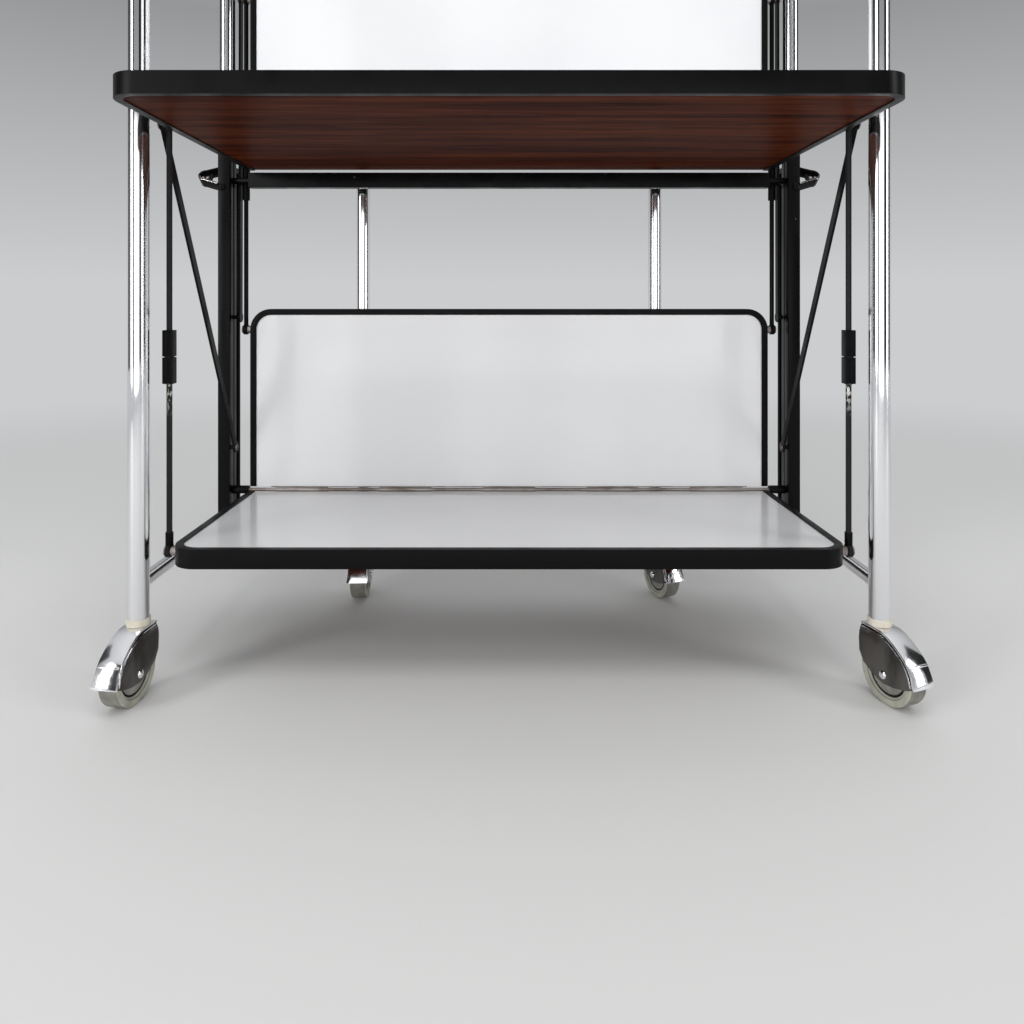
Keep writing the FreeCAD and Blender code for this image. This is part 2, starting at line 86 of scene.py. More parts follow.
def bumped(material, shader, source, strength, distance):
    tree = material.node_tree
    bump = tree.nodes.new("ShaderNodeBump")
    bump.inputs["Strength"].default_value = strength
    bump.inputs["Distance"].default_value = distance
    tree.links.new(source, bump.inputs["Height"])
    tree.links.new(bump.outputs["Normal"], shader.inputs["Normal"])


def wire(material, source, shader, socket):
    material.node_tree.links.new(source, shader.inputs[socket])


def polished_chrome():
    material, shader = finish("polished_chrome", (0.80, 0.80, 0.82), 0.08, 1.0)
    pits = grain(material, 900, detail=2.0)
    wipes = grain(material, 40, (1, 1, 0.15), 5.0)
    tint = graded(material, pits, (0.42, 0.40, 0.38), (0.83, 0.83, 0.85), 0.20, 0.30)
    wire(material, tint, shader, "Base Color")
    wire(material, graded(material, wipes, level(0.045), level(0.16)), shader, "Roughness")
    return material


def paint(material, *names):
    for name in names:
        mesh = nodes[name].data
        mesh.materials.clear()
        mesh.materials.append(material)


chrome = polished_chrome()
SIDES = {"left": -1, "right": 1}
TUBES = ("side_loop", "bottom_rail", "rear_leg", "gate_arms")
paint(chrome, *[f"{tube}_{side}" for tube in TUBES for side in SIDES])


# Centre frame in black stove enamel: two posts, the cross bar, the lower tie and the gate hinges.
# The folded steel is dipped and baked, so edges are soft and knocks show bright metal.
def satin_black(name, roughness, chip_from, shade=0.0028):
    material, shader = finish(name, level(shade), roughness)
    chips = grain(material, 240, (1, 1, 0.6), 6.0)
    dust = grain(material, 35, (1, 1, 0.3), 5.0)
    colour = graded(material, chips, level(shade), (0.10, 0.095, 0.09), chip_from, chip_from + 0.03)
    wire(material, colour, shader, "Base Color")
    gloss = graded(material, dust, level(roughness - 0.06), level(roughness + 0.10))
    wire(material, gloss, shader, "Roughness")
    bumped(material, shader, grain(material, 1200, detail=2.0), 0.06, 0.0004)
    shader.inputs["Specular IOR Level"].default_value = 0.10
    return material


def only(piece):
    if bpy.context.mode != "OBJECT":
        bpy.ops.object.mode_set(mode="OBJECT")
    bpy.ops.object.select_all(action="DESELECT")
    piece.select_set(True)
    bpy.context.view_layer.objects.active = piece


def applied(piece, kind, **settings):
    only(piece)
    modifier = piece.modifiers.new(kind.lower(), kind)
    for key, value in settings.items():
        setattr(modifier, key, value)
    bpy.ops.object.modifier_apply(modifier=modifier.name)


def smoothed(piece, angle=35):
    only(piece)
    bpy.ops.object.shade_smooth_by_angle(angle=radians(angle))


MERGE_WITHIN = 0.00001
FLAT_ANGLE = radians(1)
SHARP_ANGLE = radians(40)


def eased(node, name, material, width, segments=3):
    piece = bpy.data.objects.new(name, nodes[node].data.copy())
    bpy.context.collection.objects.link(piece)
    only(piece)
    bpy.ops.object.mode_set(mode="EDIT")
    bpy.ops.mesh.select_all(action="SELECT")
    bpy.ops.mesh.remove_doubles(threshold=MERGE_WITHIN)
    bpy.ops.mesh.dissolve_limited(angle_limit=FLAT_ANGLE)
    bpy.ops.object.mode_set(mode="OBJECT")
    applied(piece, "BEVEL", width=width, segments=segments, limit_method="ANGLE",
            angle_limit=SHARP_ANGLE)
    piece.data.materials.clear()
    piece.data.materials.append(material)
    smoothed(piece)
    return piece


def stands_for(piece, body, *names):
    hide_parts(*names)
    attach(piece, body)


enamel = satin_black("black_enamel", 0.30, 0.74)
ENAMEL_EDGE = 0.0014
for node in ("centre_post_left", "centre_post_right", "cross_bar", "lower_tie"):
    stands_for(eased(node, f"{node}_enamelled", enamel, ENAMEL_EDGE), "frame", node)
paint(enamel, "gate_lugs", "gate_tube_left", "gate_tube_right")


# Hinge rods and the steel fittings of the leaves: knuckled strips, studs and washers.
# They are plain rolled steel, dulled brown where the hand and the cloth don't reach.
def dull_steel():
    material, shader = finish("dull_steel", (0.40, 0.37, 0.33), 0.34, 1.0)
    rust = grain(material, 120, (0.4, 1, 1), 6.0)
    tint = graded(material, rust, (0.26, 0.21, 0.18), (0.40, 0.37, 0.35), 0.38, 0.60)
    wire(material, tint, shader, "Base Color")
    wire(material, graded(material, rust, level(0.58), level(0.42)), shader, "Roughness")
    return material


steel = dull_steel()
LEAVES = ("front_upper", "front_lower", "rear_upper", "rear_lower")
paint(steel, "hinge_rods", *[f"{leaf}_fittings" for leaf in LEAVES])


# Leaves: chipboard cores faced with glossy white laminate above and wood-grain laminate below.
# The sheets are pressed on hot, so the faces are flat, with faint mottling and wipe marks.
def white_laminate():
    material, shader = finish("white_laminate", (0.84, 0.845, 0.855), 0.16)
    cloud = grain(material, 5, detail=3.0)
    wipes = grain(material, 14, (1, 3, 3), 6.0)
    tint = graded(material, cloud, (0.81, 0.815, 0.83), (0.85, 0.855, 0.865))
    wire(material, tint, shader, "Base Color")
    wire(material, graded(material, wipes, level(0.14), level(0.18)), shader, "Roughness")
    bumped(material, shader, grain(material, 700, detail=2.0), 0.015, 0.0004)
    shader.inputs["Coat Weight"].default_value = 0.4
    shader.inputs["Coat Roughness"].default_value = 0.06
    return material


def wood_laminate():
    material, shader = finish("wood_grain_laminate", (0.04, 0.009, 0.003), 0.35)
    # The lighter bands along the grain are partly real wood grain and partly painted sheen, because
    # the reflection is turned almost off.
    grain_and_sheen = grain(material, 9, (0.35, 9, 9), 5.0)
    pores = grain(material, 60, (0.25, 14, 14), 6.0)
    tree = material.node_tree
    mix = tree.nodes.new("ShaderNodeMix")
    mix.data_type = "RGBA"
    mix.blend_type = "MULTIPLY"
    mix.inputs["Factor"].default_value = 1
    brown_and_sheen = graded(material, grain_and_sheen, (0.034, 0.0050, 0.0016), (0.105, 0.024, 0.008))
    streaks = graded(material, pores, (0.45, 0.42, 0.40), level(1), 0.36, 0.52)
    tree.links.new(brown_and_sheen, mix.inputs["A"])
    tree.links.new(streaks, mix.inputs["B"])
    wire(material, mix.outputs["Result"], shader, "Base Color")
    wire(material, graded(material, pores, level(0.46), level(0.34)), shader, "Roughness")
    shader.inputs["Specular IOR Level"].default_value = 0.008
    return material


def chipboard():
    material, shader = finish("chipboard", (0.40, 0.29, 0.17), 0.8)
    chips = grain(material, 260, (0.6, 1, 1), 3.0)
    tint = graded(material, chips, (0.24, 0.16, 0.08), (0.50, 0.38, 0.23))
    wire(material, tint, shader, "Base Color")
    bumped(material, shader, chips, 0.5, 0.001)
    return material


white = white_laminate()
wood = wood_laminate()
core = chipboard()
for leaf in LEAVES:
    paint(white, f"{leaf}_top_laminate")
    paint(wood, f"{leaf}_bottom_laminate")
    paint(core, f"{leaf}_board")


# Black edging: a satin plastic channel pressed round the three free sides of each leaf.
# Its lips lap over both laminates, and its outer corners are rounded and rubbed by knocks.
edge_black = satin_black("edging_black", 0.36, 0.78)
EDGING_ROUND = 0.0016
EDGING_STEPS = 4
leaf_body = {"front_upper": "upper_leaf", "front_lower": "lower_leaf",
             "rear_upper": "frame", "rear_lower": "frame"}
for leaf in LEAVES:
    node = f"{leaf}_edging"
    edging = eased(node, f"{node}_rounded", edge_black, EDGING_ROUND, EDGING_STEPS)
    stands_for(edging, leaf_body[leaf], node)


# Link rods and stays tie each pair of leaves and prop the upper one from the post.
# They are enamelled bar, and the front rods are knocked bare just below their laps.
BARE_FROM = 0.242
BARE_TO = 0.275
BAREST_AT = 0.75


def knocked_enamel():
    material = satin_black("knocked_enamel", 0.34, 0.70, 0.020)
    tree = material.node_tree
    shader = tree.nodes["Principled BSDF"]
    place = tree.nodes.new("ShaderNodeTexCoord")
    split = tree.nodes.new("ShaderNodeSeparateXYZ")
    band = tree.nodes.new("ShaderNodeMapRange")
    band.inputs["From Min"].default_value = BARE_FROM
    band.inputs["From Max"].default_value = BARE_TO
    tree.links.new(place.outputs["Object"], split.inputs["Vector"])
    tree.links.new(split.outputs["Z"], band.inputs["Value"])
    rub = tree.nodes.new("ShaderNodeValToRGB")
    rub.color_ramp.elements[0].color = (0, 0, 0, 1)
    rub.color_ramp.elements[1].color = (0, 0, 0, 1)
    rub.color_ramp.elements.new(BAREST_AT).color = (1, 1, 1, 1)
    tree.links.new(band.outputs["Result"], rub.inputs["Fac"])
    flakes = graded(material, grain(material, 420, (1, 1, 0.5), 4.0), level(0), level(1), 0.50, 0.56)
    both = tree.nodes.new("ShaderNodeMath")
    both.operation = "MULTIPLY"
    tree.links.new(rub.outputs["Color"], both.inputs[0])
    tree.links.new(flakes, both.inputs[1])
    bare = tree.nodes.new("ShaderNodeMix")
    bare.data_type = "RGBA"
    tree.links.new(both.outputs["Value"], bare.inputs["Factor"])
    tree.links.new(shader.inputs["Base Color"].links[0].from_socket, bare.inputs["A"])
    bare.inputs["B"].default_value = (0.62, 0.60, 0.56, 1)
    tree.links.new(bare.outputs["Result"], shader.inputs["Base Color"])
    tree.links.new(both.outputs["Value"], shader.inputs["Metallic"])
    return material


scuffed = satin_black("scuffed_enamel", 0.32, 0.72)
knocked = knocked_enamel()
paint(scuffed, "rear_link_rods", "rear_stays", "front_stay_left", "front_stay_right")
paint(knocked, "front_link_rod_left", "front_link_rod_right")


# Laps of the front link rods: two flat bars lie side by side and are clamped in the middle, above a
# black ferrule on each rod's foot. Both are enamelled; ends and edges are filed soft.
LAP_HALF = 0.0238
LAP_LOW = 0.2718
LAP_GAP = 0.0008
LAP_THICK, LAP_WIDE = 0.0046, 0.0090
LAP_END = [(0.0006, 0.0), (0.0003, -0.0006)]
LAP_EDGE = 0.0007
FERRULE_R, FERRULE_LONG = 0.0034, 0.0120
FERRULE_LIFT = 0.0108
FERRULE_END = [(0.0004, 0.0), (0.0003, -0.0004)]
FERRULE_EDGE = 0.0004
TURNED_SIDES = 40
SQUARE_ON = 0.9


def edit(piece):
    only(piece)
    bpy.ops.object.mode_set(mode="EDIT")
    bpy.ops.mesh.select_mode(type="FACE")


def pick_faces(piece, wanted):
    bpy.ops.object.mode_set(mode="OBJECT")
    for part in (piece.data.vertices, piece.data.edges):
        for item in part:
            item.select = False
    for face in piece.data.polygons:
        face.select = wanted(face)
    bpy.ops.object.mode_set(mode="EDIT")


def added(adder, name, **settings):
    if bpy.context.mode != "OBJECT":
        bpy.ops.object.mode_set(mode="OBJECT")
    bpy.ops.object.select_all(action="DESELECT")
    adder(**settings)
    piece = bpy.context.object
    piece.name = name
    bpy.ops.object.transform_apply(location=True, rotation=True, scale=True)
    return piece


def middle_of(node):
    low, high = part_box(node)
    return (low + high) / 2


def ends_sunk(piece, axis, steps):
    edit(piece)
    pick_faces(piece, lambda face: abs(face.normal[axis]) > SQUARE_ON)
    for width, rise in steps:
        bpy.ops.mesh.inset(thickness=width, depth=rise, use_individual=True)
    bpy.ops.object.mode_set(mode="OBJECT")


def rounded(piece, width, material):
    applied(piece, "BEVEL", width=width, segments=3, limit_method="ANGLE", angle_limit=SHARP_ANGLE)
    piece.data.materials.append(material)
    smoothed(piece)


for side in SIDES:
    rod = middle_of(f"front_link_rod_{side}")
    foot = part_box(f"front_link_rod_{side}")[0].z
    for half, low in (("lower", LAP_LOW), ("upper", LAP_LOW + LAP_HALF + LAP_GAP)):
        for lay, shift in (("west", -LAP_THICK / 2), ("east", LAP_THICK / 2)):
            bar = added(bpy.ops.mesh.primitive_cube_add, f"lap_{half}_{lay}_{side}", size=1,
                        location=(rod.x + shift, rod.y, low + LAP_HALF / 2),
                        scale=(LAP_THICK, LAP_WIDE, LAP_HALF))
            ends_sunk(bar, 2, LAP_END)
            rounded(bar, LAP_EDGE, edge_black)
            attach(bar, f"link_rod_{side}")
    ferrule = added(bpy.ops.mesh.primitive_cylinder_add, f"rod_ferrule_{side}", vertices=TURNED_SIDES,
                    radius=FERRULE_R, depth=FERRULE_LONG,
                    location=(rod.x, rod.y, foot + FERRULE_LIFT + FERRULE_LONG / 2))
    ends_sunk(ferrule, 2, FERRULE_END)
    rounded(ferrule, FERRULE_EDGE, edge_black)
    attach(ferrule, f"link_rod_{side}")


# Hinge bushes: black nylon spools on the lower hinge rod, between the leaves' ends and the posts,
# and short ones above. They are turned, with a flange at each end.
BUSH_R = 0.0046
BUSH_END = [(0.0010, 0.0), (0.0006, -0.0007)]
BUSH_EDGE = 0.0006
BUSH_SPANS = {"lower": (0.3010, 0.3196), "upper": (0.3010, 0.3052)}
hinge_low, hinge_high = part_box("hinge_rods")
HINGE_PLANE = (hinge_low.y + hinge_high.y) / 2
HINGE_R = (hinge_high.y - hinge_low.y) / 2
hinge_height = {"lower": hinge_low.z + HINGE_R, "upper": hinge_high.z - HINGE_R}
for side, sign in SIDES.items():
    for tier, (start, end) in BUSH_SPANS.items():
        bush = added(bpy.ops.mesh.primitive_cylinder_add, f"hinge_bush_{tier}_{side}",
                     vertices=TURNED_SIDES, radius=BUSH_R, depth=end - start,
                     location=(sign * (start + end) / 2, HINGE_PLANE, hinge_height[tier]),
                     rotation=(0, pi / 2, 0))
        ends_sunk(bush, 0, BUSH_END)
        rounded(bush, BUSH_EDGE, edge_black)
        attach(bush, "frame")


# Rivets: low domed heads of dull steel on the stays' feet.
# Each is set from plain wire, and its black has worn off.
DOME_SIDES, DOME_RINGS = 24, 12
STAY_INNER = 0.3126
STAY_FORWARD = 0.0075
STAY_FOOT_Z = 0.180
STAY_RIVET = (0.0036, 0.0011)


def dome(name, radius, height, place, out):
    piece = added(bpy.ops.mesh.primitive_uv_sphere_add, name, segments=DOME_SIDES,
                  ring_count=DOME_RINGS, radius=radius)
    edit(piece)
    bpy.ops.mesh.select_all(action="SELECT")
    bpy.ops.mesh.bisect(plane_co=(0, 0, 0), plane_no=(0, 0, 1), use_fill=True, clear_inner=True)
    bpy.ops.object.mode_set(mode="OBJECT")
    turn = Vector((0, 0, 1)).rotation_difference(Vector(out)).to_matrix().to_4x4()
    flatten = Matrix.Diagonal((1, 1, height / radius, 1))
    piece.data.transform(Matrix.Translation(place) @ turn @ flatten)
    smoothed(piece)
    return piece


for side, sign in SIDES.items():
    place = (sign * STAY_INNER, HINGE_PLANE - STAY_FORWARD, STAY_FOOT_Z)
    head = dome(f"stay_rivet_{side}", *STAY_RIVET, place, (-sign, 0, 0))
    head.data.materials.append(steel)
    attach(head, f"stay_{side}")


# Plugs in the rear legs' open tops: black nylon, pressed in flush with a low round crown.
# Each swings out with its own leg.
PLUG_CROWN = 0.0030
PLUG_INSET = 0.0004
for side in SIDES:
    low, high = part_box(f"rear_leg_{side}")
    top = Vector(((low.x + high.x) / 2, (low.y + high.y) / 2, high.z - PLUG_INSET))
    plug = dome(f"leg_plug_{side}", (high.x - low.x) / 2 - PLUG_INSET, PLUG_CROWN, top, (0, 0, 1))
    plug.data.materials.append(edge_black)
    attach(plug, f"rear_gate_{side}")


# Hairpin strips on the posts, bent from blacked spring steel round a web at the tip. The plating is
# bare along the lower arm's front edge. Two screws hold each web, and a black bolt its foot.
STRIP_TILT = Matrix.Rotation(radians(-35), 4, "X")
STRIP_EDGE = 0.0004
STRIP_DOWN = STRIP_TILT @ Vector((0, 0, -1))
LOWER_ARM = 0.0015
WEB_FACE = Vector((0, -0.0015, 0))
WEB_OUT = STRIP_TILT @ Vector((0, -1, 0))
FRONT_EDGE = 0.004
FACES_OUT = 0.6
SCREWS_ALONG = (0.0035, 0.0090)
SCREW = (0.0023, 0.0012)
POST_HALF = 0.011
BOLT = (0.0046, 0.0026)
BOLT_X, BOLT_Z = 0.3285, 0.4785
for side, sign in SIDES.items():
    node = f"strip_loop_{side}"
    strip = eased(node, f"{node}_plated", chrome, STRIP_EDGE)
    strip.data.materials.append(enamel)
    heart = middle_of(node)
    for face in strip.data.polygons:
        out = face.center - heart
        front_edge = face.normal.dot(WEB_OUT) > FACES_OUT and out.dot(WEB_OUT) > FRONT_EDGE
        face.material_index = 0 if front_edge and out.dot(STRIP_DOWN) > LOWER_ARM else 1
    stands_for(strip, "frame", node)
    for count, along in enumerate(SCREWS_ALONG):
        spot = heart + STRIP_TILT @ (WEB_FACE + Vector((sign * along, 0, 0)))
        head = dome(f"strip_screw_{side}_{count}", *SCREW, spot, WEB_OUT)
        head.data.materials.append(steel)
        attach(head, "frame")
    place = (sign * BOLT_X, HINGE_PLANE - POST_HALF, BOLT_Z)
    bolt = dome(f"post_bolt_{side}", *BOLT, place, (0, -1, 0))
    bolt.data.materials.append(enamel)
    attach(bolt, "frame")


# Caster hoods: a cover pressed from sheet and plated bright, narrow along the brow and swelling over
# the wheel. A bead, a groove painted black as shade and a second bead run along the brow above each
# side plate, whose metal is painted dark as a reflection of dark surroundings; a pressed line crosses
# the nose, and the lip flares. Stem and axle rivet swivel with it.
HEADINGS = {"front_left": -98, "front_right": -70, "rear_left": -88, "rear_right": -70}
CORNERS = tuple(HEADINGS)
WHEEL_R = 0.026
TRAIL = 0.0145
HOOD_HALF = 0.0135
BROW_HALF = 0.0104
LIP_FLARE = 0.0010
LIP_TOP_Z = 0.0360
LIP_DROP = 0.009
SWELL = 0.010
PLATE_OUT = 0.0121
PLATE_SLACK = 0.0003
PLATE_CUTS = 5
BEAD_OUT = 0.0130
GROOVE_DEEP = 0.0028
WELL_HALF = 0.0095
WELL_GAP = 0.0015
WELL_SKIN = 0.001
WELL_SIDES = 64
HOOD_EDGE = 0.0004
HOOD_SHARP = radians(38)
HOOD_BROW = [(-0.0098, 0.0620), (0.0020, 0.0621), (0.0110, 0.0616), (0.0175, 0.0595),
             (0.0240, 0.0559), (0.0300, 0.0515), (0.0354, 0.0469), (0.0395, 0.0418),
             (0.0425, 0.0356), (0.0440, 0.0310), (0.0456, 0.0270)]
HOOD_UNDER = [(0.0360, 0.0230), (0.0260, 0.0201), (0.0145, 0.0190), (0.0040, 0.0222),
              (-0.0060, 0.0285), (-0.0106, 0.0368), (-0.0112, 0.0480)]
RIM_PATH = [(-0.0101, 0.0620)] + HOOD_BROW[1:-1] + [(0.0458, 0.0265)]
BEAD_PATH = [(-0.0088, 0.0620)] + HOOD_BROW[1:-1] + [(0.0449, 0.0287)]
RIM_BAND = (-0.0002, 0.0012)
BEAD_BAND = (0.0026, 0.0034)
NOSE_LINE = (0.0389, 0, 0.0421)
NOSE_LINE_R = 0.0012
NOSE_LINE_SHORT = 0.0016
NOSE_LINE_END = [(0.0004, 0.0), (0.0002, -0.0003)]
NOSE_LINE_EDGE = 0.0003
NOSE_LINE_SIDES = 32
AXLE_RIVET = (0.0036, 0.0019)


def cut_away(piece, tool):
    applied(piece, "BOOLEAN", object=tool, operation="DIFFERENCE", solver="EXACT")
    bpy.data.objects.remove(tool)


def copy_to(piece, name, matrix):
    twin = bpy.data.objects.new(name, piece.data.copy())
    bpy.context.collection.objects.link(twin)
    twin.data.transform(matrix)
    twin.data.update()
    return twin


def inward(points, offset):
    moved = []
    for count, point in enumerate(points):
        before = Vector(points[max(count - 1, 0)])
        after = Vector(points[min(count + 1, len(points) - 1)])
        along = (after - before).normalized()
        moved.append((point[0] + along.y * offset, point[1] - along.x * offset))
    return moved


def slab(name, outline, half):
    piece = added(bpy.ops.mesh.primitive_circle_add, name, vertices=len(outline), radius=WHEEL_R,
                  fill_type="NGON")
    for vertex, (x, z) in zip(piece.data.vertices, outline):
        vertex.co = (x, -half, z)
    edit(piece)
    bpy.ops.mesh.select_all(action="SELECT")
    bpy.ops.mesh.extrude_region_move(TRANSFORM_OT_translate={"value": (0, 2 * half, 0)})
    bpy.ops.mesh.select_all(action="SELECT")
    bpy.ops.mesh.normals_make_consistent(inside=False)
    bpy.ops.object.mode_set(mode="OBJECT")
    return piece


def brow_depth(x, z):
    spot = Vector((x, z))
    depths = []
    for start, end in zip(HOOD_BROW, HOOD_BROW[1:]):
        run = Vector(end) - Vector(start)
        share = max(0, min(1, (spot - Vector(start)).dot(run) / run.length_squared))
        depths.append((spot - Vector(start) - share * run).length)
    return min(depths)


def hood_half(x, z):
    share = min(1, brow_depth(x, z) / SWELL)
    flare = LIP_FLARE * max(0, min(1, (LIP_TOP_Z - z) / LIP_DROP)) * (1 - share)
    return BROW_HALF + flare + (HOOD_HALF - BROW_HALF) * share * (2 - share)


def hood_pattern():
    piece = slab("hood_pattern", HOOD_BROW + HOOD_UNDER, PLATE_OUT)
    for path, (start, end), half in ((RIM_PATH, RIM_BAND, HOOD_HALF),
                                     (BEAD_PATH, BEAD_BAND, BEAD_OUT)):
        ring = slab("ring", inward(path, start) + inward(path, end)[::-1], half)
        applied(piece, "BOOLEAN", object=ring, operation="UNION", solver="EXACT")
        bpy.data.objects.remove(ring)
    piece.data.materials.append(chrome)
    piece.data.materials.append(painted_dark_plate)
    piece.data.materials.append(edge_black)
    for face in piece.data.polygons:
        # Flat faces along the brow's groove take the black edging as painted shade; the rest of the
        # flat plate takes the darkened plating.
        flat = abs(face.normal.y) > SQUARE_ON and abs(abs(face.center.y) - PLATE_OUT) < PLATE_SLACK
        shaded_groove = max(brow_depth(*piece.data.vertices[v].co.xz) for v in face.vertices) < GROOVE_DEEP
        face.material_index = (2 if shaded_groove else 1) if flat else 0
    well = added(bpy.ops.mesh.primitive_cylinder_add, "well", vertices=WELL_SIDES,
                 radius=WHEEL_R + WELL_GAP, depth=2 * WELL_HALF, location=(TRAIL, 0, WHEEL_R),
                 rotation=(pi / 2, 0, 0))
    cut_away(piece, well)
    throat = added(bpy.ops.mesh.primitive_cube_add, "throat", size=1,
                   location=(TRAIL, 0, WHEEL_R / 2),
                   scale=(2 * WHEEL_R + 2 * WELL_GAP, 2 * WELL_HALF, WHEEL_R))
    cut_away(piece, throat)
    edit(piece)
    pick_faces(piece, lambda face: face.material_index == 1)
    bpy.ops.mesh.quads_convert_to_tris(ngon_method="BEAUTY")
    bpy.ops.mesh.subdivide(number_cuts=PLATE_CUTS)
    bpy.ops.object.mode_set(mode="OBJECT")
    for vertex in piece.data.vertices:
        if abs(vertex.co.y) > WELL_HALF + WELL_SKIN:
            drawn_in = HOOD_HALF - hood_half(vertex.co.x, vertex.co.z)
            vertex.co.y -= drawn_in if vertex.co.y > 0 else -drawn_in
    applied(piece, "BEVEL", width=HOOD_EDGE, segments=2, limit_method="ANGLE", angle_limit=HOOD_SHARP)
    smoothed(piece)
    return piece


def plating_painted_dark():
    # Painted reflection: the side plates' metal is coloured dark to stand in for the dark
    # surroundings it mirrors, and the smears vary that colour.
    material, shader = finish("plating_painted_dark", (0.11, 0.105, 0.10), 0.22, 1.0)
    smears = grain(material, 55, (1, 1, 0.4), 5.0)
    tint = graded(material, smears, (0.07, 0.066, 0.062), (0.17, 0.16, 0.15))
    wire(material, tint, shader, "Base Color")
    wire(material, graded(material, smears, level(0.30), level(0.14)), shader, "Roughness")
    return material


def hood_at(corner):
    axle = middle_of(f"{corner}_hub")
    turn = radians(HEADINGS[corner])
    stem = Vector((axle.x - TRAIL * cos(turn), axle.y - TRAIL * sin(turn), 0))
    return Matrix.Translation(stem) @ Matrix.Rotation(turn, 4, "Z")


painted_dark_plate = plating_painted_dark()
hood_form = hood_pattern()
for corner in CORNERS:
    hood = copy_to(hood_form, f"{corner}_hood_cover", hood_at(corner))
    stands_for(hood, f"{corner}_caster", f"{corner}_hood")
    line = added(bpy.ops.mesh.primitive_cylinder_add, f"{corner}_nose_line", vertices=NOSE_LINE_SIDES,
                 radius=NOSE_LINE_R, depth=2 * BROW_HALF - NOSE_LINE_SHORT, location=NOSE_LINE,
                 rotation=(pi / 2, 0, 0))
    ends_sunk(line, 1, NOSE_LINE_END)
    rounded(line, NOSE_LINE_EDGE, chrome)
    line.data.transform(hood_at(corner))
    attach(line, f"{corner}_caster")
    for face, sign in (("near", -1), ("far", 1)):
        place = (TRAIL, sign * PLATE_OUT, WHEEL_R)
        head = dome(f"{corner}_axle_rivet_{face}", *AXLE_RIVET, place, (0, sign, 0))
        head.data.transform(hood_at(corner))
        head.data.materials.append(chrome)
        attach(head, f"{corner}_caster")
bpy.data.objects.remove(hood_form)


# Tyres and hubs: grey rubber bands on moulded discs, dirty at the tread.
# The rubber is pressed on, matt, and marbled by the floor; a black ring of painted shade lies in the
# groove that parts it from the hub.
TYRE_HALF = 0.0089
TYRE_STEPS = [(0.0026, 0.0), (0.0030, 0.0004), (0.0006, 0.0008), (0.0017, 0.0)]
TYRE_EDGE = 0.0013
TYRE_SHARP = radians(60)
SIDE_WALL = 0.7
RIM_R = 0.018
HUB_GAP = 0.0001
HUB_SUNK = 0.002
HUB_STEPS = [(0.0012, 0.0), (0.0008, 0.0012), (0.0058, -0.0008), (0.0012, 0.0010), (0.0030, 0.0),
             (0.0008, -0.0030)]
HUB_EDGE = 0.0003
HUB_SHARP = radians(50)
HUB_SHADE_RING = 0.0014
WHEEL_SIDES = 96


def grey_rubber(name, low, high):
    material, shader = finish(name, high, 0.75)
    wire(material, graded(material, grain(material, 90, detail=6.0), low, high), shader, "Base Color")
    bumped(material, shader, grain(material, 500, detail=4.0), 0.3, 0.0005)
    return material


def moulded(name, low, high):
    material, shader = finish(name, high, 0.45)
    wire(material, graded(material, grain(material, 70, detail=5.0), low, high), shader, "Base Color")
    bumped(material, shader, grain(material, 300, detail=3.0), 0.12, 0.0004)
    return material


def wheel_turned(name, radius, half, insets):
    piece = added(bpy.ops.mesh.primitive_cylinder_add, name, vertices=WHEEL_SIDES, radius=radius,
                  depth=2 * half, location=(TRAIL, 0, WHEEL_R), rotation=(pi / 2, 0, 0))
    edit(piece)
    pick_faces(piece, lambda face: abs(face.normal.y) > SQUARE_ON)
    for width, sink in insets:
        bpy.ops.mesh.inset(thickness=width, depth=-sink, use_individual=True)
    return piece


def tyre_pattern():
    piece = wheel_turned("tyre_pattern", WHEEL_R, TYRE_HALF, TYRE_STEPS)
    bpy.ops.mesh.delete(type="FACE")
    bpy.ops.mesh.select_mode(type="EDGE")
    bpy.ops.mesh.select_non_manifold()
    bpy.ops.mesh.bridge_edge_loops()
    bpy.ops.mesh.select_all(action="SELECT")
    bpy.ops.mesh.normals_make_consistent(inside=False)
    bpy.ops.object.mode_set(mode="OBJECT")
    applied(piece, "BEVEL", width=TYRE_EDGE, segments=3, limit_method="ANGLE", angle_limit=TYRE_SHARP)
    smoothed(piece)
    piece.data.materials.append(rubber)
    piece.data.materials.append(side_rubber)
    for face in piece.data.polygons:
        face.material_index = 1 if abs(face.normal.y) > SIDE_WALL else 0
    return piece


def hub_pattern():
    piece = wheel_turned("hub_pattern", RIM_R - HUB_GAP, TYRE_HALF - HUB_SUNK, HUB_STEPS)
    bpy.ops.object.mode_set(mode="OBJECT")
    applied(piece, "BEVEL", width=HUB_EDGE, segments=2, limit_method="ANGLE", angle_limit=HUB_SHARP)
    smoothed(piece)
    piece.data.materials.append(hub_grey)
    piece.data.materials.append(edge_black)
    # The hub's outer ring takes the black edging as painted shade in the groove against the tyre.
    for face in piece.data.polygons:
        away = (face.center - Vector((TRAIL, face.center.y, WHEEL_R))).length
        face.material_index = 1 if away > RIM_R - HUB_SHADE_RING else 0
    return piece


rubber = grey_rubber("tread_rubber", (0.17, 0.165, 0.145), (0.27, 0.265, 0.23))
side_rubber = grey_rubber("side_rubber", (0.34, 0.335, 0.28), (0.48, 0.475, 0.40))
hub_grey = moulded("hub_moulding", (0.20, 0.19, 0.17), (0.33, 0.32, 0.29))
tyre_form = tyre_pattern()
hub_form = hub_pattern()
for corner in CORNERS:
    tyre = copy_to(tyre_form, f"{corner}_tyre_band", hood_at(corner))
    stands_for(tyre, f"{corner}_wheel", f"{corner}_tyre")
    hub = copy_to(hub_form, f"{corner}_hub_disc", hood_at(corner))
    stands_for(hub, f"{corner}_wheel", f"{corner}_hub")
bpy.data.objects.remove(tyre_form)
bpy.data.objects.remove(hub_form)


